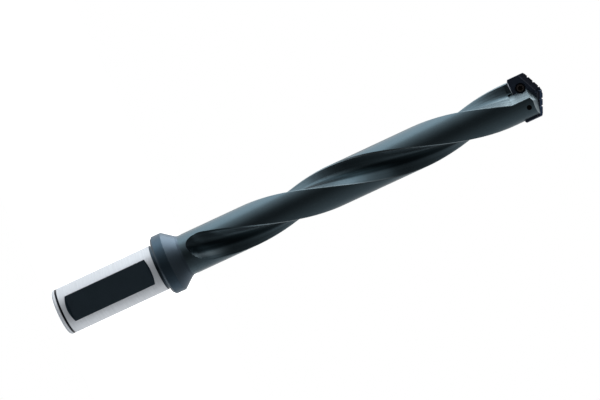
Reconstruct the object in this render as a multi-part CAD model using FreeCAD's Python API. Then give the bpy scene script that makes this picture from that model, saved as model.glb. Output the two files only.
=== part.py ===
import FreeCAD, Part

import math
import os

from FreeCAD import Vector

# Two-flute helical drill with a clamped plate insert.
# The tool stands on its shank end: +Z runs along the axis from the shank to the point.
# The insert lies in the XZ plane, and the flat of the shank faces -Y.
# The insert's -X half cuts towards -Y. Everything at the tip repeats after half a turn about Z.
# All lengths are in millimetres and all angles in degrees.

# Shank
SHANK_D = 20.0
SHANK_LENGTH = 46.9
SHANK_END_CHAMFER = 0.6
FLAT_DEPTH = 1.8
FLAT_START = 5.4
FLAT_LENGTH = 36.7
FLAT_END_ANGLE = 60.0
GROOVE_START = 1.6
GROOVE_WIDTH = 0.6
GROOVE_DEPTH = 0.25
NECK_WIDTH = 1.5
NECK_DEPTH = 0.4
FACE_RELIEF_WIDTH = 0.3
FACE_RELIEF_DEPTH = 0.2

# Flange
FLANGE_D = 26.0
FLANGE_CHAMFER = 0.9
FLANGE_RIM_WIDTH = 4.1
FLANGE_CONE_LENGTH = 5.4
CONE_FOOT = 0.4

# Fluted body
BODY_D = 17.6
LEAD = 156.0
FLUTE_FLOOR_LEAN = 10.0
FLUTE_FLANK_ANGLE = 120.0
FLUTE_CORNER_R = 3.8
FLOOR_EDGE_BEVEL = 0.45
FLANK_EDGE_BEVEL = 0.12
FLUTE_EDGE_ANGLE = 45.0
RUNOUT_R = 9.2
RUNOUT_LIFT = 7.4
RUNOUT_STEP_ANGLE = 9.0
RUNOUT_GAP = 2.15
SECTION_TURN = 14.0

# Pocket beside the insert
POCKET_BELOW_SLOT = 1.8
POCKET_FLOOR_OFFSET = 0.4
POCKET_CORNER_R = 0.6

# Ears and slot
SLOT_CLEARANCE = 0.02
EAR_INNER_EDGE = 3.2
EAR_PEAK_X = 2.4
EAR_PEAK_BELOW_POINT = 3.25
EAR_OUTER_SLOPE = 16.0
EAR_INNER_SLOPE = 25.0
EAR_RELIEF = 19.0

# Drill insert
INSERT_D = 19.6
INSERT_THICKNESS = 4.0
INSERT_SEAT = 208.65
INSERT_SIDE_LENGTH = 7.95
POINT_ANGLE = 132.0
LIP_CLEARANCE = 9.0
HEEL_START = 1.6
HEEL_CLEARANCE = 24.0
CORNER_CHAMFER = 1.0
CORNER_DROP = 0.3
REAR_CORNER_WIDTH = 1.2
REAR_CORNER_HEIGHT = 0.7
REAR_EDGE_CHAMFER = 0.45
MARGIN_WIDTH = 1.3
MARGIN_RELIEF = 7.0
LIP_GROOVE_R = 4.0
LIP_GROOVE_WIDTH = 2.4
LIP_GROOVE_END = 1.0
GASH_R = 0.8
GASH_LEAN = 32.0
GASH_OFFSET = 0.55
NOTCH_WIDTH = 0.7
NOTCH_DEPTH = 0.4
NOTCH_LEAN = 14.0
FRONT_NOTCHES = (1.9, 4.6, 7.4)
BACK_NOTCHES = (3.25, 6.0)

# Insert screws
SCREW_OFFSET = 4.4
SCREW_HEIGHT = 4.2
SCREW_D = 2.5
SCREW_HEAD_D = 3.5
SCREW_HEAD_RIM = 0.4
SCREW_HEAD_CROWN = 0.25
SCREW_SINK_ANGLE = 60.0
SCREW_GRIP = 4.0
SCREW_BORE_CLEARANCE = 0.02
SCREW_BORE_RUN = 0.6
SCREW_OUTLET_D = 2.1
SINK_D = 4.5
INSERT_HOLE_D = 2.8
EAR_RECESS_D = 4.7
DRIVE_CORE_D = 1.5
DRIVE_LOBE_D = 0.62
DRIVE_LOBES = 6
DRIVE_LOBE_PLACE = 0.8
DRIVE_DEPTH = 0.9

# Coolant channel
INLET_D = 8.6
INLET_DEPTH = 12.0
INLET_CHAMFER = 0.5
CHANNEL_D = 4.0
CHANNEL_BELOW_SEAT = 2.2
OUTLET_D = 1.8
OUTLET_AZIMUTH = 200.0
OUTLET_ELEVATION = 40.0

# Derived places
ORIGIN = Vector(0, 0, 0)
AXIS = Vector(0, 0, 1)
INWARD = Vector(0, 1, 0)
SHANK_R = SHANK_D / 2
FLANGE_R = FLANGE_D / 2
BODY_R = BODY_D / 2
INSERT_R = INSERT_D / 2
HALF_INSERT = INSERT_THICKNESS / 2
FLAT_END = FLAT_START + FLAT_LENGTH
RIM_START = SHANK_LENGTH + FLANGE_CHAMFER
RIM_END = RIM_START + FLANGE_RIM_WIDTH
BODY_START = RIM_END + FLANGE_CONE_LENGTH
SLOT_FLOOR = INSERT_SEAT - SLOT_CLEARANCE
HELIX_END = SLOT_FLOOR - POCKET_BELOW_SLOT
SHOULDER = INSERT_SEAT + INSERT_SIDE_LENGTH
POINT_SLOPE = 1 / math.tan(math.radians(POINT_ANGLE / 2))
POINT = SHOULDER + INSERT_R * POINT_SLOPE
SCREW_Z = INSERT_SEAT + SCREW_HEIGHT
BEYOND = SHANK_D + FLANGE_D


def slope(angle):
    """Rise per unit of length at this angle."""
    return math.tan(math.radians(angle))


def direction(angle):
    """Unit vector in the XY plane at this angle from +X."""
    return Vector(math.cos(math.radians(angle)), math.sin(math.radians(angle)), 0)


def prism(points, along):
    """Solid made by pushing a closed outline along a vector."""
    return Part.Face(Part.makePolygon(points + [points[0]])).extrude(along)


def rod(start, end, diameter):
    """Round rod between two points."""
    return Part.makeCylinder(diameter / 2, (end - start).Length, start, end - start)


def opposite(shape):
    """Copy turned half a turn about the tool's axis."""
    copy = shape.copy()
    copy.rotate(ORIGIN, AXIS, 180)
    return copy


def both_sides(shape):
    return [shape, opposite(shape)]


def rounded_corner(corner, first, second, radius):
    """Tangent arc at a corner that two unit headings leave: its start, middle and end."""
    bisector = (first + second).normalize()
    half_angle = first.getAngle(bisector)
    reach = radius / math.tan(half_angle)
    centre = corner + bisector * (radius / math.sin(half_angle))
    middle = centre - bisector * radius
    return corner + first * reach, middle, corner + second * reach


def turned(points):
    """Solid of revolution about Z from an outline in the XZ plane."""
    face = Part.Face(Part.makePolygon(points + [points[0]]))
    return face.revolve(ORIGIN, AXIS, 360)


def turned_blank():
    """Shank, flange and plain body as they leave the lathe."""
    groove_end = GROOVE_START + GROOVE_WIDTH
    neck_start = SHANK_LENGTH - NECK_WIDTH
    relief_end = SHANK_LENGTH + FACE_RELIEF_DEPTH
    cone_rise = FLANGE_CONE_LENGTH / (FLANGE_R - BODY_R)
    outline = [
        ORIGIN,
        Vector(SHANK_R - SHANK_END_CHAMFER, 0, 0),
        Vector(SHANK_R, 0, SHANK_END_CHAMFER),
        Vector(SHANK_R, 0, GROOVE_START),
        Vector(SHANK_R - GROOVE_DEPTH, 0, GROOVE_START),
        Vector(SHANK_R - GROOVE_DEPTH, 0, groove_end),
        Vector(SHANK_R, 0, groove_end),
        Vector(SHANK_R, 0, FLAT_START),
        Vector(SHANK_R, 0, FLAT_END),
        Vector(SHANK_R, 0, neck_start),
        Vector(SHANK_R - NECK_DEPTH, 0, neck_start),
        Vector(SHANK_R - NECK_DEPTH, 0, relief_end),
        Vector(SHANK_R + FACE_RELIEF_WIDTH, 0, relief_end),
        Vector(SHANK_R + FACE_RELIEF_WIDTH, 0, SHANK_LENGTH),
        Vector(FLANGE_R - FLANGE_CHAMFER, 0, SHANK_LENGTH),
        Vector(FLANGE_R, 0, RIM_START),
        Vector(FLANGE_R, 0, RIM_END),
        Vector(BODY_R + CONE_FOOT, 0, BODY_START - CONE_FOOT * cone_rise),
        Vector(BODY_R, 0, BODY_START + CONE_FOOT),
        Vector(BODY_R, 0, POINT),
        Vector(0, 0, POINT),
    ]
    return turned(outline)


def shank_flat():
    """Side-lock flat with sloping ends, cut into the shank from -Y."""
    level = SHANK_R - FLAT_DEPTH
    run = SHANK_R / slope(FLAT_END_ANGLE)
    outline = [
        Vector(-SHANK_R, -level, FLAT_START),
        Vector(-SHANK_R, -level, FLAT_END),
        Vector(-SHANK_R, -level - SHANK_R, FLAT_END + run),
        Vector(-SHANK_R, -level - SHANK_R, FLAT_START - run),
    ]
    return prism(outline, Vector(SHANK_D, 0, 0))


def wall_length(start, heading):
    """Distance along a heading from a point inside the body to the body's surface."""
    along = start.dot(heading)
    return math.sqrt(along**2 + BODY_R**2 - start.dot(start)) - along


def corner_curve(start, middle, end, heading_in, heading_out):
    """The flute's rounded corner as one smooth cubic curve through its arc."""
    curve = Part.BSplineCurve()
    arc = Part.Arc(start, middle, end)
    places = [arc.FirstParameter + (arc.LastParameter - arc.FirstParameter) * k / 4 for k in range(5)]
    points = [arc.value(place) for place in places]
    curve.interpolate(Points=points, InitialTangent=heading_in, FinalTangent=heading_out)
    return curve


def open_section(corner, floor_heading, radius):
    """Outline of a flute or pocket: floor, rounded corner, flank and bevelled edges."""
    flank_heading = direction(180 + FLUTE_FLANK_ANGLE)
    arc = rounded_corner(corner, floor_heading, flank_heading, radius)
    floor_edge = corner + floor_heading * (wall_length(corner, floor_heading) - FLOOR_EDGE_BEVEL)
    flank_edge = corner + flank_heading * (wall_length(corner, flank_heading) - FLANK_EDGE_BEVEL)
    floor_out = floor_edge + direction(180 - FLUTE_EDGE_ANGLE) * BODY_R
    flank_out = flank_edge + direction(180 + FLUTE_FLANK_ANGLE + FLUTE_EDGE_ANGLE) * BODY_R
    outside = (arc[1] - ORIGIN).normalize() * BEYOND
    curves = [
        Part.LineSegment(floor_out, floor_edge),
        Part.LineSegment(floor_edge, arc[0]),
        corner_curve(*arc, -floor_heading, flank_heading),
        Part.LineSegment(arc[2], flank_edge),
        Part.LineSegment(flank_edge, flank_out),
        Part.LineSegment(flank_out, outside),
        Part.LineSegment(outside, floor_out),
    ]
    return Part.Wire([curve.toShape() for curve in curves])


def flute_section():
    """Cross-section of one flute at the tip, with its corner level with the insert's face."""
    corner = Vector(-EAR_INNER_EDGE, -HALF_INSERT, 0)
    return open_section(corner, direction(180 - FLUTE_FLOOR_LEAN), FLUTE_CORNER_R)


def pocket_section():
    """Cross-section of the pocket beside the insert, on the flute's flank but deeper."""
    inside = (HALF_INSERT - POCKET_FLOOR_OFFSET) / slope(180 - FLUTE_FLANK_ANGLE)
    corner = Vector(-EAR_INNER_EDGE - inside, -POCKET_FLOOR_OFFSET, 0)
    return open_section(corner, direction(180), POCKET_CORNER_R)


def placed_section(section, height, lift=0.0):
    """The flute's section turned to its place on the helix, and lifted out of the cut."""
    placed = section.copy()
    way_out = direction(180 + (FLUTE_FLANK_ANGLE - FLUTE_FLOOR_LEAN) / 2)
    placed.translate(way_out * lift + AXIS * height)
    placed.rotate(ORIGIN, AXIS, 360 * (height - HELIX_END) / LEAD)
    return placed


def helical_flute():
    """Flute from its rounded run-out beside the flange to the end of the helix."""
    section = flute_section()
    run_angle = math.degrees(math.acos(1 - RUNOUT_LIFT / RUNOUT_R))
    full_depth = BODY_START + RUNOUT_GAP + RUNOUT_R * math.sin(math.radians(run_angle))
    steps = math.ceil(run_angle / RUNOUT_STEP_ANGLE)
    sections = []
    for step in range(steps, 0, -1):
        angle = math.radians(run_angle * step / steps)
        height = full_depth - RUNOUT_R * math.sin(angle)
        lift = RUNOUT_R * (1 - math.cos(angle))
        sections.append(placed_section(section, height, lift))
    length = HELIX_END - full_depth
    turns = math.ceil(360 * length / LEAD / SECTION_TURN)
    for step in range(turns + 1):
        sections.append(placed_section(section, full_depth + length * step / turns))
    return Part.makeLoft(sections, True)


def insert_pocket():
    """Straight end of the flute that bares the insert's face."""
    section = pocket_section()
    section.translate(AXIS * HELIX_END)
    return Part.Face(section).extrude(AXIS * (POINT - HELIX_END + BODY_R))


def insert_slot():
    """Slot across the tip that the insert lies in."""
    half = HALF_INSERT + SLOT_CLEARANCE
    return Part.makeBox(2 * BEYOND, 2 * half, BEYOND, Vector(-BEYOND, -half, SLOT_FLOOR))


def ear_front():
    """What is milled off in front of one ear: two slopes that fall away from a peak."""
    peak = Vector(EAR_PEAK_X, -HALF_INSERT, POINT - EAR_PEAK_BELOW_POINT)
    relief = Vector(0, -1, -slope(EAR_RELIEF))
    outline = [
        peak,
        peak + Vector(BEYOND, 0, -BEYOND * slope(EAR_OUTER_SLOPE)),
        peak + Vector(BEYOND, 0, BEYOND),
        peak + Vector(-BEYOND, 0, BEYOND),
        peak + Vector(-BEYOND, 0, -BEYOND * slope(EAR_INNER_SLOPE)),
    ]
    return prism(outline, relief * BEYOND)


def screw_spaces():
    """Room for one screw in the ears: head recess, threaded bore and its outlet."""
    insert_face = Vector(-SCREW_OFFSET, -HALF_INSERT, SCREW_Z)
    ear_face = Vector(-SCREW_OFFSET, HALF_INSERT, SCREW_Z)
    bore_end = ear_face + INWARD * (SCREW_GRIP + SCREW_BORE_RUN)
    return [
        rod(insert_face - INWARD * BEYOND, insert_face, EAR_RECESS_D),
        rod(ear_face, bore_end, SCREW_D + 2 * SCREW_BORE_CLEARANCE),
        rod(ear_face, ear_face + INWARD * BEYOND, SCREW_OUTLET_D),
    ]


def coolant_spaces():
    """Axial channel with its inlet at the shank end and one outlet into each flute."""
    inlet_r = INLET_D / 2
    inlet = turned(
        [
            ORIGIN,
            Vector(inlet_r + INLET_CHAMFER, 0, 0),
            Vector(inlet_r, 0, INLET_CHAMFER),
            Vector(inlet_r, 0, INLET_DEPTH),
            Vector(0, 0, INLET_DEPTH),
        ]
    )
    channel_top = AXIS * (INSERT_SEAT - CHANNEL_BELOW_SEAT)
    outlet_start = channel_top - AXIS * (CHANNEL_D / 2)
    heading = direction(OUTLET_AZIMUTH) + AXIS * slope(OUTLET_ELEVATION)
    outlet = rod(outlet_start, outlet_start + heading * BODY_R, OUTLET_D)
    return [inlet, rod(ORIGIN, channel_top, CHANNEL_D)] + both_sides(outlet)


def drill_holder():
    """Shank, flange, fluted body and ears in one piece."""
    cuts = [shank_flat(), insert_slot()]
    for cut in [helical_flute(), insert_pocket(), ear_front()] + screw_spaces():
        cuts += both_sides(cut)
    holder = turned_blank()
    for cut in cuts + coolant_spaces():
        holder = holder.cut(cut)
    return holder


def insert_plate():
    """Insert blank: flat plate with its point, corners and round margins."""
    side = INSERT_R
    rear = INSERT_SEAT
    half_outline = [
        Vector(side - REAR_CORNER_WIDTH, -HALF_INSERT, rear),
        Vector(side, -HALF_INSERT, rear + REAR_CORNER_HEIGHT),
        Vector(side, -HALF_INSERT, SHOULDER - CORNER_DROP),
        Vector(side - CORNER_CHAMFER, -HALF_INSERT, SHOULDER + CORNER_CHAMFER * POINT_SLOPE),
    ]
    mirrored = [Vector(-point.x, point.y, point.z) for point in reversed(half_outline)]
    peak = [Vector(0, -HALF_INSERT, POINT)]
    plate = prism(half_outline + peak + mirrored, Vector(0, INSERT_THICKNESS, 0))
    return plate.common(Part.makeCylinder(INSERT_R, 2 * POINT))


def lip_height(distance):
    """Height of the cutting lip at this distance from the axis."""
    return POINT - distance * POINT_SLOPE


def lip_clearance():
    """What is ground off behind the -X lip: a narrow clearance and a steeper heel."""
    primary_end = -HALF_INSERT + HEEL_START
    heel_level = POINT - HEEL_START * slope(LIP_CLEARANCE)
    back = HALF_INSERT + HEEL_START
    outline = [
        Vector(0, -HALF_INSERT - HEEL_START, POINT + HEEL_START * slope(LIP_CLEARANCE)),
        Vector(0, primary_end, heel_level),
        Vector(0, back, heel_level - (back - primary_end) * slope(HEEL_CLEARANCE)),
        Vector(0, back, POINT + BEYOND),
        Vector(0, -HALF_INSERT - HEEL_START, POINT + BEYOND),
    ]
    lip_heading = Vector(1, 0, POINT_SLOPE)
    outline = [point - lip_heading * BEYOND for point in outline]
    return prism(outline, lip_heading * (2 * BEYOND))


def margin_relief():
    """What is ground off the -X side behind its round margin."""
    margin_end = -HALF_INSERT + MARGIN_WIDTH
    x_start = -math.sqrt(INSERT_R**2 - margin_end**2)
    run = INSERT_THICKNESS
    outline = [
        Vector(x_start, margin_end, 0),
        Vector(x_start + run * slope(MARGIN_RELIEF), margin_end + run, 0),
        Vector(x_start - run, margin_end + run, 0),
        Vector(x_start - run, margin_end, 0),
    ]
    return prism(outline, AXIS * 2 * POINT)


def lip_groove():
    """Round chip groove along the -X lip, in the face that the chips run over."""
    half_width = LIP_GROOVE_WIDTH / 2
    height_over_face = math.sqrt(LIP_GROOVE_R**2 - half_width**2)
    lip_heading = Vector(-1, 0, -POINT_SLOPE).normalize()
    below_lip = Vector(POINT_SLOPE, 0, -1).normalize()
    inner = Vector(-LIP_GROOVE_END, -HALF_INSERT - height_over_face, lip_height(LIP_GROOVE_END))
    start = inner + below_lip * half_width
    return rod(start, start + lip_heading * INSERT_D, 2 * LIP_GROOVE_R)


def point_gash():
    """Thinning cut that brings the -X lip in to the middle of the point."""
    downwards = Vector(0, -slope(GASH_LEAN), -1)
    start = Vector(-GASH_OFFSET, -GASH_R, POINT) - downwards * GASH_R
    return rod(start, start + downwards * INSERT_SIDE_LENGTH, 2 * GASH_R)


def chip_notches(distances):
    """Notches across the -X lip that break the chip into strips."""
    backwards = Vector(0, 1, -slope(NOTCH_LEAN))
    notches = []
    for distance in distances:
        middle = lip_height(distance) - NOTCH_DEPTH + NOTCH_WIDTH / 2
        start = Vector(-distance, -HALF_INSERT, middle) - backwards * NOTCH_WIDTH
        notches.append(rod(start, start + backwards * 2 * INSERT_THICKNESS, NOTCH_WIDTH))
    return notches


def screw_hole():
    """Countersunk hole through the insert for the screw in its -X half."""
    face = Vector(-SCREW_OFFSET, -HALF_INSERT, SCREW_Z)
    sink_depth = SINK_D / 2 / slope(SCREW_SINK_ANGLE / 2)
    sink = Part.makeCone(SINK_D / 2, 0, sink_depth, face, INWARD)
    return [sink, rod(face, face + INWARD * INSERT_THICKNESS, INSERT_HOLE_D)]


def rear_bevel():
    """Bevel along the rear edge of the -Y face."""
    corner = Vector(-BEYOND, -HALF_INSERT, INSERT_SEAT)
    outline = [
        corner + Vector(0, -REAR_EDGE_CHAMFER, -REAR_EDGE_CHAMFER),
        corner + Vector(0, REAR_EDGE_CHAMFER, 0) + Vector(0, 1, -1) * REAR_EDGE_CHAMFER,
        corner + Vector(0, -REAR_EDGE_CHAMFER, 2 * REAR_EDGE_CHAMFER),
    ]
    return prism(outline, Vector(2 * BEYOND, 0, 0))


def drill_insert():
    """Plate insert with two lips, notched to break the chips, and two screw holes."""
    plate = insert_plate()
    cuts = []
    for cut in [lip_clearance(), margin_relief(), lip_groove(), point_gash(), rear_bevel()] + screw_hole():
        cuts += both_sides(cut)
    cuts += chip_notches(FRONT_NOTCHES)
    cuts += [opposite(notch) for notch in chip_notches(BACK_NOTCHES)]
    for cut in cuts:
        plate = plate.cut(cut)
    return plate


def star_drive(face):
    """Six-lobed drive recess, sunk from a place on the screw's head."""
    floor = face + INWARD * DRIVE_DEPTH
    recess = rod(face, floor, DRIVE_CORE_D)
    for lobe in range(DRIVE_LOBES):
        angle = 2 * math.pi * lobe / DRIVE_LOBES
        place = Vector(math.cos(angle), 0, math.sin(angle)) * DRIVE_LOBE_PLACE
        recess = recess.fuse(rod(face + place, floor + place, DRIVE_LOBE_D))
    return recess


def insert_screw():
    """Countersunk screw in the -X half of the insert, put in from -Y."""
    cone_slope = slope(SCREW_SINK_ANGLE / 2)
    head_r = SCREW_HEAD_D / 2
    screw_r = SCREW_D / 2
    cone_start = -HALF_INSERT + (SINK_D / 2 - head_r) / cone_slope
    cone_end = cone_start + (head_r - screw_r) / cone_slope
    rim_start = cone_start - SCREW_HEAD_RIM
    end = HALF_INSERT + SCREW_GRIP
    head_face = rim_start - SCREW_HEAD_CROWN
    outline = [
        Vector(0, 0, head_face),
        Vector(head_r - SCREW_HEAD_CROWN, 0, head_face),
        Vector(head_r, 0, rim_start),
        Vector(head_r, 0, cone_start),
        Vector(screw_r, 0, cone_end),
        Vector(screw_r, 0, end),
        Vector(0, 0, end),
    ]
    screw = turned(outline)
    screw.rotate(ORIGIN, Vector(1, 0, 0), -90)
    screw.translate(Vector(-SCREW_OFFSET, 0, SCREW_Z))
    return screw.cut(star_drive(Vector(-SCREW_OFFSET, head_face, SCREW_Z))).removeSplitter()


def write(name, shape):
    shape.exportStep("parts/" + name + ".step")


def main():
    os.makedirs("parts", exist_ok=True)
    write("drill_holder", drill_holder())
    write("drill_insert", drill_insert())
    front_screw = insert_screw()
    write("insert_screw_front", front_screw)
    write("insert_screw_back", opposite(front_screw))


main()
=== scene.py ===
import math
from types import SimpleNamespace

import bpy
from mathutils import Matrix, Vector

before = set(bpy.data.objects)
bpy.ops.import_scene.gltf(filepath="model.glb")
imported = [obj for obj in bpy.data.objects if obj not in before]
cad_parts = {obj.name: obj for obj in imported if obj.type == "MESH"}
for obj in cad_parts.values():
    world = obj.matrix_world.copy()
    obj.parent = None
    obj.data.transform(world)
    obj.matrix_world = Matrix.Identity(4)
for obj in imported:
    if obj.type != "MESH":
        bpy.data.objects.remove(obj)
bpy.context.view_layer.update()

# Lengths are in metres, angles in degrees and places are in the tool's own frame:
# it stands on its shank end, +Z runs to the point and -Y faces the photograph's camera.
MM = 0.001

# Camera, as the photograph's proportions give it
PHOTO_WIDTH = 600
FOCAL_PIXELS = 2700
SENSOR_WIDTH = 36.0
CAMERA_DISTANCE = 1.121
CAMERA_TILT = 4.9
AXIS_TURN = 24.9
AIM_HEIGHT = 0.11078
AIM_SIDE = -0.0008
CAMERA_REACH = 20.0

# Places and sizes on the tool
SHANK_R = 0.010
GROOVE_START = 0.0016
GROOVE_END = 0.0022
SHANK_END = 0.0454
BODY_R = 0.0088
BODY_START = 0.0573
RIM_START = 0.0478
RIM_END = 0.0519
INSERT_SEAT = 0.20865
POINT = 0.22096
LIP_SLOPE = 0.445
HELIX_END = 0.20683
LEAD = 0.156
SCREW_FACE = 0.001784

# Headings in the section where the helix ends: out of the front flute, and across it from its flank.
# The painted shade of the valley and the painted highlight band in the run-out are at these distances
# across a flute.
OUT_OF_FLUTE = (-0.574, -0.819, 0.0)
ACROSS_FLUTE = (-0.819, 0.574, 0.0)
VALLEY_SIDE = -0.0001
RUNOUT_BAND_SIDE = -0.0032

# Soft edges on the holder: where a change begins and where it is complete
OUTER_SHANK = (SHANK_R - 0.10 * MM, SHANK_R - 0.06 * MM)
END_FACE = (0.30 * MM, 0.62 * MM)
# The groove's oxide, with painted shade reaching a little past its sides
GROOVE_FROM = (GROOVE_START - 0.20 * MM, GROOVE_START - 0.05 * MM)
GROOVE_TO = (GROOVE_END + 0.15 * MM, GROOVE_END + 0.30 * MM)
SHANK_TO = (SHANK_END - 0.05 * MM, SHANK_END + 0.05 * MM)
NECK_FROM = (SHANK_END, SHANK_END + 0.1 * MM)
RIM_FROM = (RIM_START - 0.1 * MM, RIM_START + 0.1 * MM)
RIM_TO = (RIM_END - 0.1 * MM, RIM_END + 0.1 * MM)
BODY_FROM = (BODY_START, BODY_START + 1.0 * MM)
BODY_SKIN = (BODY_R - 0.06 * MM, BODY_R - 0.03 * MM)
# Flute edges near the outside, from this height up, are lighter for wear and as a painted highlight
WEAR_AND_HIGHLIGHT_EDGE = (BODY_R - 0.75 * MM, BODY_R - 0.35 * MM)
WEAR_AND_HIGHLIGHT_FROM = (0.075, 0.110)
# Painted shade in the flute valley: its width and the height where it ends
VALLEY_WIDTH = (1.0 * MM, 2.6 * MM)
VALLEY_TO = (0.184, 0.194)
# Painted highlight band in the run-out: its width and the height where it ends
RUNOUT_BAND_WIDTH = (0.3 * MM, 1.4 * MM)
RUNOUT_BAND_TO = (0.068, 0.078)
# Painted highlight on the flank near the tip, away from the insert
FLANK_HIGHLIGHT_SIDE = (2.2 * MM, 3.2 * MM)
FLANK_HIGHLIGHT_FROM = (0.186, 0.203)
FLANK_HIGHLIGHT_TO = (0.2145, 0.2170)

# Soft edges on the insert, with the lands measured down from the lips, and on the screws
INSERT_REAR = (INSERT_SEAT + 0.35 * MM, INSERT_SEAT + 0.50 * MM)
INSERT_FACE = (1.70 * MM, 1.78 * MM)
LAND_TO = (2.5 * MM, 2.8 * MM)
LAND_LINE_FROM = (2.2 * MM, 2.5 * MM)
HEAD_FROM = (SCREW_FACE - 0.08 * MM, SCREW_FACE - 0.03 * MM)
HEAD_TO = (SCREW_FACE + 0.1 * MM, SCREW_FACE + 0.2 * MM)

# Colours as red, green and blue, and in pairs where one varies between two
OXIDE = ((0.082, 0.125, 0.150), (0.116, 0.165, 0.194))
# Wear on the flute edges, partly a painted highlight
WORN_AND_HIGHLIT_OXIDE = (0.180, 0.235, 0.265)
# Painted shade in the flute valley
VALLEY_PAINTED_SHADE = (0.020, 0.034, 0.042)
# Painted highlight in the run-out
RUNOUT_PAINTED_HIGHLIGHT = (0.230, 0.300, 0.340)
# Painted highlight on the flank near the tip
FLANK_PAINTED_HIGHLIGHT = (0.290, 0.370, 0.410)
# Painted highlight on the cone, lighter than the oxide
CONE_PAINTED_HIGHLIGHT = (0.122, 0.168, 0.216)
RIM_OXIDE = (0.072, 0.114, 0.154)
# Painted shade in the neck recess
NECK_PAINTED_SHADE = (0.054, 0.077, 0.099)
FLAT_OXIDE = ((0.120, 0.180, 0.235), (0.160, 0.230, 0.300))
# Oxide left in the groove, darkened further as painted shade
GROOVE_OXIDE_AND_SHADE = (0.016, 0.018, 0.024)
GROUND_STEEL = ((0.60, 0.64, 0.69), (0.80, 0.84, 0.89))
COATING = ((0.038, 0.054, 0.086), (0.066, 0.088, 0.130))
COATING_TINT = (0.30, 0.33, 0.40)
# Painted highlight on the insert's rear edge
REAR_EDGE_HIGHLIGHT = (0.50, 0.54, 0.60)
LAND = (0.066, 0.078, 0.110)
LAND_LINE = (0.16, 0.18, 0.23)
SCREW_STEEL = ((0.125, 0.110, 0.108), (0.210, 0.190, 0.188))
SCREW_SHADE = (0.030, 0.024, 0.022)

# Random structure: waves per metre and the depth of detail in them
MOTTLE_PATCHES = (160.0, 4.0)
MOTTLE_SPECKLE = (1500.0, 2.0)
HOLDER_GRAIN = (4200.0, 2.0)
MILLING_LINES = (2600.0, 3.0)
FLUTE_STREAKS = (800.0, 2.0)
TURNING_RINGS = (2600.0, 4.0)
COATING_GRAIN = (3000.0, 3.0)
COATING_CLOUD = (500.0, 3.0)
SCREW_GRAIN = (2500.0, 3.0)
DETAIL_STRENGTH = 0.55

# How the structure is stretched, how much speckle the mottle has, and factors on colours
LENGTHWISE = (1.0, 1.0, 0.02)
RINGWISE = (0.04, 0.04, 1.0)
SPECKLE_SHARE = 0.4
STREAK_LEVELS = (0.55, 1.5)
# Milling lines lighter and darker in the painted highlight on the flank
FLANK_HIGHLIGHT_LEVELS = (0.6, 1.2)

# Roughness, share of metal and depth of the fine relief
OXIDE_ROUGHNESS = (0.26, 0.36)
TURNED_ROUGHNESS = 0.12
FLUTE_ROUGHNESS = 0.08
STEEL_ROUGHNESS = (0.38, 0.50)
OXIDE_METALLIC = 1.0
STEEL_METALLIC = 0.58
COATING_ROUGHNESS = (0.30, 0.45)
COATING_METALLIC = 0.9
SCREW_ROUGHNESS = (0.25, 0.38)
SCREW_METALLIC = 1.0
GRAIN_RELIEF = 0.4
HOLDER_RELIEF = 0.006 * MM
COATING_RELIEF = 0.004 * MM
SCREW_RELIEF = 0.003 * MM

# Room that the metal mirrors: brightness by heading, from the camera's side (-1) to the backdrop (1)
ROOM = (
    (-1.0, 0.035),
    (-0.93, 0.07),
    (-0.72, 0.15),
    (-0.34, 0.25),
    (0.17, 0.34),
    (0.5, 0.43),
    (0.9, 0.6),
    (1.0, 1.0),
)

# The room is dimmer above and below in front of the tool, and glows on the left
OFF_LEVEL = (0.1, 0.45)
BEHIND_TOOL = (0.0, 0.5)
DIMMED = 0.25
LEFT_GLOW = 0.8
LEFT_GLOW_POWER = 4.0

# Light of the world for surfaces that don't mirror, and for the camera
EVEN_LIGHT = 0.6
BACKDROP = 1.0

# Floor
FLOOR_FRONT = -0.014
FLOOR_BACK = 0.45
FLOOR_HALF_WIDTH = 0.3
FLOOR_LEVEL = 0.78
FLOOR_GLOW = 0.75
FLOOR_GLOW_IN_METAL = 0.25

# Lamps
COOL = (0.92, 1.0, 1.05)
WHITE = (1.0, 1.0, 1.0)

# Colour sockets of the mix node
FIRST_COLOUR = 6
SECOND_COLOUR = 7
MIXED_COLOUR = 2


def feed(tree, socket, value):
    """Give a socket a value, or link another socket to it."""
    if isinstance(value, bpy.types.NodeSocket):
        tree.links.new(value, socket)
    else:
        socket.default_value = value


def make(tree, kind, inputs=None, **settings):
    """Add a node with its settings and inputs."""
    node = tree.nodes.new(kind)
    for name, value in settings.items():
        setattr(node, name, value)
    for name, value in (inputs or {}).items():
        feed(tree, node.inputs[name], value)
    return node


def calc(tree, operation, first, second=0.0):
    """Result of a math node."""
    return make(tree, "ShaderNodeMath", {0: first, 1: second}, operation=operation).outputs[0]


def plus(tree, first, second):
    return calc(tree, "ADD", first, second)


def minus(tree, first, second):
    return calc(tree, "SUBTRACT", first, second)


def larger(tree, first, second):
    return calc(tree, "MAXIMUM", first, second)


def without_sign(tree, value):
    return calc(tree, "ABSOLUTE", value)


def product(tree, *factors):
    """All factors multiplied."""
    result = factors[0]
    for factor in factors[1:]:
        result = calc(tree, "MULTIPLY", result, factor)
    return result


def rise(tree, value, edge):
    """0 before a soft edge, 1 beyond it, and a smooth change between."""
    low, high = edge
    inputs = {"Value": value, "From Min": low, "From Max": high}
    return make(tree, "ShaderNodeMapRange", inputs, interpolation_type="SMOOTHSTEP").outputs["Result"]


def fall(tree, value, edge):
    """1 before a soft edge and 0 beyond it."""
    return minus(tree, 1.0, rise(tree, value, edge))


def vary(tree, share, low, high):
    """Number that goes from low to high as share goes from 0 to 1."""
    inputs = {"Value": share, "To Min": low, "To Max": high}
    return make(tree, "ShaderNodeMapRange", inputs).outputs["Result"]


def grey(level):
    return (level, level, level)


def solid(value):
    """Red, green and blue with full opacity. The result of a node is passed on as it is."""
    return (*value, 1.0) if isinstance(value, tuple) else value


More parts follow.
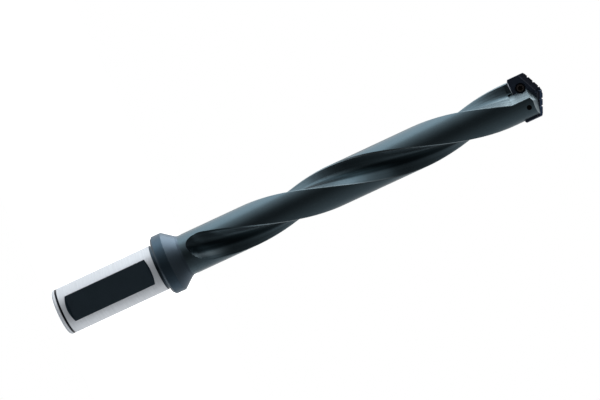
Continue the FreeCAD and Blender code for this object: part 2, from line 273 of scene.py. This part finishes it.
def blend(tree, share, first, second, **settings):
    """Colour that goes from first to second as share goes from 0 to 1."""
    inputs = {"Factor": share, FIRST_COLOUR: solid(first), SECOND_COLOUR: solid(second)}
    return make(tree, "ShaderNodeMix", inputs, data_type="RGBA", **settings).outputs[MIXED_COLOUR]


def noise(tree, place, structure):
    """Soft random value from about 0 to 1."""
    scale, detail = structure
    inputs = {"Vector": place, "Scale": scale, "Detail": detail, "Roughness": DETAIL_STRENGTH}
    return make(tree, "ShaderNodeTexNoise", inputs).outputs["Fac"]


def stretched(tree, place, scale):
    """Place scaled by a different amount along each axis."""
    return make(tree, "ShaderNodeMapping", {"Vector": place, "Scale": scale}).outputs["Vector"]


def along(tree, place, heading):
    """How far a place lies in a direction."""
    inputs = {0: place, 1: heading}
    return make(tree, "ShaderNodeVectorMath", inputs, operation="DOT_PRODUCT").outputs["Value"]


def separate(tree, place):
    """The x, y and z of a place."""
    return make(tree, "ShaderNodeSeparateXYZ", {0: place}).outputs


def new_material(name):
    """Empty material with its shader, and the place on the tool."""
    material = bpy.data.materials.new(name)
    material.use_nodes = True
    tree = material.node_tree
    tree.nodes.clear()
    shader = make(tree, "ShaderNodeBsdfPrincipled")
    output = make(tree, "ShaderNodeOutputMaterial")
    tree.links.new(shader.outputs[0], output.inputs["Surface"])
    place = make(tree, "ShaderNodeTexCoord").outputs["Object"]
    return material, tree, shader, place


def bump(tree, shader, height, distance):
    """Fine relief from a height value."""
    node = make(tree, "ShaderNodeBump", {"Height": height, "Distance": distance, "Strength": 1.0})
    tree.links.new(node.outputs["Normal"], shader.inputs["Normal"])


def unwound(tree, place, z):
    """Place turned back by the helix, so that lines along a flute stand still."""
    height = calc(tree, "MINIMUM", z, HELIX_END)
    turns = calc(tree, "DIVIDE", minus(tree, height, HELIX_END), LEAD)
    inputs = {"Vector": place, "Angle": product(tree, turns, -2 * math.pi)}
    return make(tree, "ShaderNodeVectorRotate", inputs, rotation_type="Z_AXIS").outputs["Vector"]


def holder_spot(tree, place):
    """Where a point of the holder is: its place, radius, height and place in the unwound section."""
    x, y, z = separate(tree, place)
    radius = calc(tree, "SQRT", plus(tree, product(tree, x, x), product(tree, y, y)))
    return SimpleNamespace(place=place, radius=radius, z=z, straight=unwound(tree, place, z))


def holder_zones(tree, spot):
    """How far a point belongs to each zone of the holder, from 0 to 1."""
    shank = fall(tree, spot.z, SHANK_TO)
    groove = minus(tree, rise(tree, spot.z, GROOVE_FROM), rise(tree, spot.z, GROOVE_TO))
    outside = product(tree, rise(tree, spot.radius, OUTER_SHANK), minus(tree, 1.0, groove))
    ground = larger(tree, product(tree, outside, shank), fall(tree, spot.z, END_FACE))
    turned = product(tree, rise(tree, spot.z, NECK_FROM), fall(tree, spot.z, BODY_FROM))
    cone = product(tree, turned, rise(tree, spot.z, RIM_TO))
    rim = minus(tree, turned, cone)
    return SimpleNamespace(
        shank=shank,
        groove=groove,
        ground=ground,
        turned=turned,
        cone=cone,
        rim=rim,
        neck=product(tree, rim, fall(tree, spot.z, RIM_FROM)),
        flute=product(tree, rise(tree, spot.z, BODY_FROM), fall(tree, spot.radius, BODY_SKIN)),
    )


def holder_structure(tree, spot):
    """Random structure of the holder's surfaces."""
    lengthwise = stretched(tree, spot.straight, LENGTHWISE)
    ringwise = stretched(tree, spot.place, RINGWISE)
    patches = noise(tree, spot.place, MOTTLE_PATCHES)
    speckle = noise(tree, spot.place, MOTTLE_SPECKLE)
    return SimpleNamespace(
        mottle=vary(tree, SPECKLE_SHARE, patches, speckle),
        grain=noise(tree, spot.place, HOLDER_GRAIN),
        milling=noise(tree, lengthwise, MILLING_LINES),
        streaks=noise(tree, lengthwise, FLUTE_STREAKS),
        rings=noise(tree, ringwise, TURNING_RINGS),
    )


def flute_side(tree, straight):
    """Distance across a flute, the same in both flutes and negative towards the flank."""
    which_flute = calc(tree, "SIGN", along(tree, straight, OUT_OF_FLUTE))
    return product(tree, which_flute, along(tree, straight, ACROSS_FLUTE))


def band(tree, side, middle, width):
    """1 near a line along the flute and 0 away from it."""
    return fall(tree, without_sign(tree, minus(tree, side, middle)), width)


def flute_tones(tree, oxide, spot, zones, structure):
    """Worn edges that also carry a painted highlight, painted shade in the valley, a painted highlight
    band in the run-out, and a painted highlight on the flank near the tip.
    """
    # Flute edges lighter: partly wear, partly a painted highlight
    wear_and_highlight = product(tree, zones.flute, rise(tree, spot.radius, WEAR_AND_HIGHLIGHT_EDGE), rise(tree, spot.z, WEAR_AND_HIGHLIGHT_FROM))
    oxide = blend(tree, wear_and_highlight, oxide, WORN_AND_HIGHLIT_OXIDE)

    side = flute_side(tree, spot.straight)
    # Painted shade along the valley of each flute
    in_valley = band(tree, side, VALLEY_SIDE, VALLEY_WIDTH)
    valley = product(tree, zones.flute, in_valley, fall(tree, spot.z, VALLEY_TO))
    oxide = blend(tree, valley, oxide, VALLEY_PAINTED_SHADE)

    # Painted highlight band along the run-out
    in_runout_band = band(tree, side, RUNOUT_BAND_SIDE, RUNOUT_BAND_WIDTH)
    runout_highlight = product(tree, zones.flute, in_runout_band, fall(tree, spot.z, RUNOUT_BAND_TO))
    oxide = blend(tree, runout_highlight, oxide, RUNOUT_PAINTED_HIGHLIGHT)

    # Painted highlight on the flank near the tip, with milling lines in it
    off_insert = without_sign(tree, separate(tree, spot.straight)["Y"])
    near_tip = product(tree, rise(tree, spot.z, FLANK_HIGHLIGHT_FROM), fall(tree, spot.z, FLANK_HIGHLIGHT_TO))
    lines = vary(tree, structure.milling, *FLANK_HIGHLIGHT_LEVELS)
    flank_highlight = product(tree, zones.flute, rise(tree, off_insert, FLANK_HIGHLIGHT_SIDE), near_tip, lines)
    return blend(tree, flank_highlight, oxide, FLANK_PAINTED_HIGHLIGHT)


def flute_streaks(tree, oxide, zones, structure):
    """Oxide with lighter and darker streaks along the flutes."""
    dark, light = STREAK_LEVELS
    streaks = blend(tree, structure.streaks, grey(dark), grey(light))
    streaks = blend(tree, zones.flute, grey(1.0), streaks)
    return blend(tree, 1.0, oxide, streaks, blend_type="MULTIPLY")


def holder_colour(tree, spot, zones, structure):
    """Black oxide in its tones, with painted shade and highlights, and ground steel on the shank."""
    oxide = blend(tree, structure.mottle, *OXIDE)
    oxide = flute_tones(tree, oxide, spot, zones, structure)
    oxide = flute_streaks(tree, oxide, zones, structure)
    # Painted highlight on the cone
    oxide = blend(tree, zones.cone, oxide, CONE_PAINTED_HIGHLIGHT)
    oxide = blend(tree, zones.rim, oxide, RIM_OXIDE)
    # Painted shade in the neck recess
    oxide = blend(tree, zones.neck, oxide, NECK_PAINTED_SHADE)
    oxide = blend(tree, zones.shank, oxide, blend(tree, structure.mottle, *FLAT_OXIDE))
    # Oxide in the groove and on its shoulders, with painted shade
    oxide = blend(tree, zones.groove, oxide, GROOVE_OXIDE_AND_SHADE)
    return blend(tree, zones.ground, oxide, blend(tree, structure.rings, *GROUND_STEEL))


def holder_roughness(tree, zones, structure):
    """Satin oxide, duller where it is turned or milled, and fine-ground steel."""
    oxide = vary(tree, structure.mottle, *OXIDE_ROUGHNESS)
    oxide = plus(tree, oxide, product(tree, zones.turned, TURNED_ROUGHNESS))
    oxide = plus(tree, oxide, product(tree, zones.flute, FLUTE_ROUGHNESS))
    steel = vary(tree, structure.grain, *STEEL_ROUGHNESS)
    return vary(tree, zones.ground, oxide, steel)


def holder_relief(tree, zones, structure):
    """Milling lines in the flutes, rings where the tool is turned or ground, and a fine grain."""
    milled = product(tree, structure.milling, zones.flute)
    ringed = product(tree, structure.rings, larger(tree, zones.turned, zones.ground))
    return plus(tree, plus(tree, milled, ringed), product(tree, structure.grain, GRAIN_RELIEF))


def holder_finish():
    """Black oxide steel, with the shank ground bright apart from its flat and its groove."""
    material, tree, shader, place = new_material("holder_steel")
    spot = holder_spot(tree, place)
    zones = holder_zones(tree, spot)
    structure = holder_structure(tree, spot)
    metallic = vary(tree, zones.ground, OXIDE_METALLIC, STEEL_METALLIC)
    tree.links.new(holder_colour(tree, spot, zones, structure), shader.inputs["Base Color"])
    tree.links.new(holder_roughness(tree, zones, structure), shader.inputs["Roughness"])
    tree.links.new(metallic, shader.inputs["Metallic"])
    bump(tree, shader, holder_relief(tree, zones, structure), HOLDER_RELIEF)
    return material


def insert_colour(tree, place):
    """Dark coating, a painted highlight on the rear edge, and paler lands with a light line behind the
    lips.
    """
    x, y, z = separate(tree, place)
    lip_height = minus(tree, POINT, product(tree, without_sign(tree, x), LIP_SLOPE))
    below_lip = minus(tree, lip_height, z)
    on_face = rise(tree, without_sign(tree, y), INSERT_FACE)
    land = product(tree, on_face, fall(tree, below_lip, LAND_TO))
    land_line = product(tree, land, rise(tree, below_lip, LAND_LINE_FROM))
    shade = blend(tree, noise(tree, place, COATING_CLOUD), *COATING)
    # Painted highlight along the rear edge
    shade = blend(tree, fall(tree, z, INSERT_REAR), shade, REAR_EDGE_HIGHLIGHT)
    shade = blend(tree, land, shade, LAND)
    return blend(tree, land_line, shade, LAND_LINE)


def insert_finish():
    """Carbide with a dark hard coating."""
    material, tree, shader, place = new_material("coated_carbide")
    grain = noise(tree, place, COATING_GRAIN)
    tree.links.new(insert_colour(tree, place), shader.inputs["Base Color"])
    tree.links.new(vary(tree, grain, *COATING_ROUGHNESS), shader.inputs["Roughness"])
    shader.inputs["Metallic"].default_value = COATING_METALLIC
    shader.inputs["Specular Tint"].default_value = solid(COATING_TINT)
    bump(tree, shader, grain, COATING_RELIEF)
    return material


def screw_finish():
    """Oiled steel, with painted shade that leaves it nearly black everywhere but on the head's face."""
    material, tree, shader, place = new_material("screw_steel")
    grain = noise(tree, place, SCREW_GRAIN)
    off_middle = without_sign(tree, separate(tree, place)["Y"])
    # Painted shade everywhere but on the head's face
    shaded = larger(tree, fall(tree, off_middle, HEAD_FROM), rise(tree, off_middle, HEAD_TO))
    shade = blend(tree, shaded, blend(tree, grain, *SCREW_STEEL), SCREW_SHADE)
    tree.links.new(shade, shader.inputs["Base Color"])
    tree.links.new(vary(tree, grain, *SCREW_ROUGHNESS), shader.inputs["Roughness"])
    shader.inputs["Metallic"].default_value = SCREW_METALLIC
    bump(tree, shader, grain, SCREW_RELIEF)
    return material


def dress(names, material):
    """Give CAD nodes a material."""
    for name in names:
        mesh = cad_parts[name].data
        mesh.materials.clear()
        mesh.materials.append(material)


def mirrored_rays(tree, rays):
    """1 for rays that come from a mirroring or clear surface, and 0 for the others."""
    return larger(tree, rays["Is Glossy Ray"], rays["Is Transmission Ray"])


def floor_finish():
    """Pale floor that looks white where nothing shades it."""
    material = bpy.data.materials.new("pale_floor")
    material.use_nodes = True
    tree = material.node_tree
    tree.nodes.clear()
    rays = make(tree, "ShaderNodeLightPath").outputs
    seen = product(tree, rays["Is Camera Ray"], FLOOR_GLOW)
    mirrored = product(tree, mirrored_rays(tree, rays), FLOOR_GLOW_IN_METAL)
    diffuse = make(tree, "ShaderNodeBsdfDiffuse", {"Color": solid(grey(FLOOR_LEVEL))})
    glow = make(tree, "ShaderNodeEmission", {"Strength": plus(tree, seen, mirrored)})
    both = make(tree, "ShaderNodeAddShader", {0: diffuse.outputs[0], 1: glow.outputs[0]})
    output = make(tree, "ShaderNodeOutputMaterial")
    tree.links.new(both.outputs[0], output.inputs["Surface"])
    return material


def floor():
    """Pale floor under the tool."""
    corners = [
        (-FLOOR_HALF_WIDTH, FLOOR_FRONT, 0),
        (FLOOR_HALF_WIDTH, FLOOR_FRONT, 0),
        (FLOOR_HALF_WIDTH, FLOOR_BACK, 0),
        (-FLOOR_HALF_WIDTH, FLOOR_BACK, 0),
    ]
    mesh = bpy.data.meshes.new("floor")
    mesh.from_pydata(corners, [], [(0, 1, 2, 3)])
    mesh.materials.append(floor_finish())
    piece = bpy.data.objects.new("floor", mesh)
    bpy.context.scene.collection.objects.link(piece)


def room_ramp(tree, towards_back):
    """Brightness of the mirrored room by how far a direction points to the backdrop."""
    share = make(tree, "ShaderNodeMapRange", {"Value": towards_back, "From Min": -1.0}).outputs["Result"]
    ramp = make(tree, "ShaderNodeValToRGB", {0: share})
    stops = ramp.color_ramp.elements
    for stop, (place, level) in zip(stops, (ROOM[0], ROOM[-1])):
        stop.position = (place + 1) / 2
        stop.color = solid(grey(level))
    for place, level in ROOM[1:-1]:
        stops.new((place + 1) / 2).color = solid(grey(level))
    return make(tree, "ShaderNodeRGBToBW", {0: ramp.outputs["Color"]}).outputs[0]


def mirrored_room(tree):
    """Room for the metal: dim on the camera's side, and glowing on the left."""
    heading = separate(tree, make(tree, "ShaderNodeTexCoord").outputs["Generated"])
    off_level = rise(tree, without_sign(tree, heading["Z"]), OFF_LEVEL)
    in_front = fall(tree, heading["Y"], BEHIND_TOOL)
    dimming = vary(tree, product(tree, off_level, in_front), 1.0, DIMMED)
    to_left = larger(tree, product(tree, heading["X"], -1.0), 0.0)
    left_glow = product(tree, calc(tree, "POWER", to_left, LEFT_GLOW_POWER), LEFT_GLOW)
    return plus(tree, product(tree, room_ramp(tree, heading["Y"]), dimming), left_glow)


def studio_world():
    """White backdrop for the camera, the mirrored room for the metal, and even light for the rest."""
    world = bpy.data.worlds.new("studio")
    bpy.context.scene.world = world
    world.use_nodes = True
    tree = world.node_tree
    tree.nodes.clear()
    rays = make(tree, "ShaderNodeLightPath").outputs
    room = blend(tree, mirrored_rays(tree, rays), grey(EVEN_LIGHT), mirrored_room(tree))
    seen = blend(tree, rays["Is Camera Ray"], room, grey(BACKDROP))
    background = make(tree, "ShaderNodeBackground", {"Color": seen})
    output = make(tree, "ShaderNodeOutputWorld")
    tree.links.new(background.outputs[0], output.inputs["Surface"])


def softbox(name, place, aim, width, height, brightness, tint):
    """Even rectangular lamp that faces a point. Its brightness is that of its surface."""
    lamp = bpy.data.lights.new(name, "AREA")
    lamp.shape = "RECTANGLE"
    lamp.size = width
    lamp.size_y = height
    lamp.energy = brightness * math.pi * width * height
    lamp.color = tint
    piece = bpy.data.objects.new(name, lamp)
    piece.location = place
    piece.rotation_euler = (Vector(aim) - Vector(place)).to_track_quat("-Z", "Y").to_euler()
    piece.visible_camera = False
    bpy.context.scene.collection.objects.link(piece)


def lights():
    """Two large softboxes, one on the left and one high behind it, and a small lamp in front."""
    softbox(
        name="left_softbox",
        place=(-0.973, 0.393, 0.02),
        aim=(0, 0, 0.02),
        width=1.58,
        height=0.94,
        brightness=0.8,
        tint=COOL,
    )
    softbox(
        name="high_softbox",
        place=(-0.63, 0.63, 0.914),
        aim=(0, 0, AIM_HEIGHT),
        width=1.5,
        height=1.07,
        brightness=2.0,
        tint=WHITE,
    )
    softbox(
        name="small_lamp",
        place=(-0.55, -0.82, 0.51),
        aim=(0, 0, AIM_HEIGHT),
        width=0.32,
        height=0.32,
        brightness=0.5,
        tint=WHITE,
    )


def photo_camera():
    """Camera of the photograph: nearly level, and rolled so that the tool lies across the picture."""
    tilt = math.radians(CAMERA_TILT)
    turn = math.radians(AXIS_TURN)
    side = Vector((1, 0, 0))
    axis = Vector((0, math.sin(tilt), math.cos(tilt)))
    back = Vector((0, -math.cos(tilt), math.sin(tilt)))
    right = axis * math.cos(turn) + side * math.sin(turn)
    up = axis * math.sin(turn) - side * math.cos(turn)
    place = Vector((AIM_SIDE, 0, AIM_HEIGHT)) + back * CAMERA_DISTANCE
    data = bpy.data.cameras.new("photo_camera")
    data.sensor_width = SENSOR_WIDTH
    data.lens = FOCAL_PIXELS / PHOTO_WIDTH * SENSOR_WIDTH
    data.clip_end = CAMERA_REACH
    camera = bpy.data.objects.new("photo_camera", data)
    axes = Matrix((right, up, back)).transposed()
    camera.matrix_world = Matrix.Translation(place) @ axes.to_4x4()
    bpy.context.scene.collection.objects.link(camera)
    bpy.context.scene.camera = camera


dress(["drill_holder"], holder_finish())
dress(["drill_insert"], insert_finish())
dress(["insert_screw_front", "insert_screw_back"], screw_finish())
floor()
studio_world()
lights()
photo_camera()
bpy.context.scene.view_settings.view_transform = "Standard"
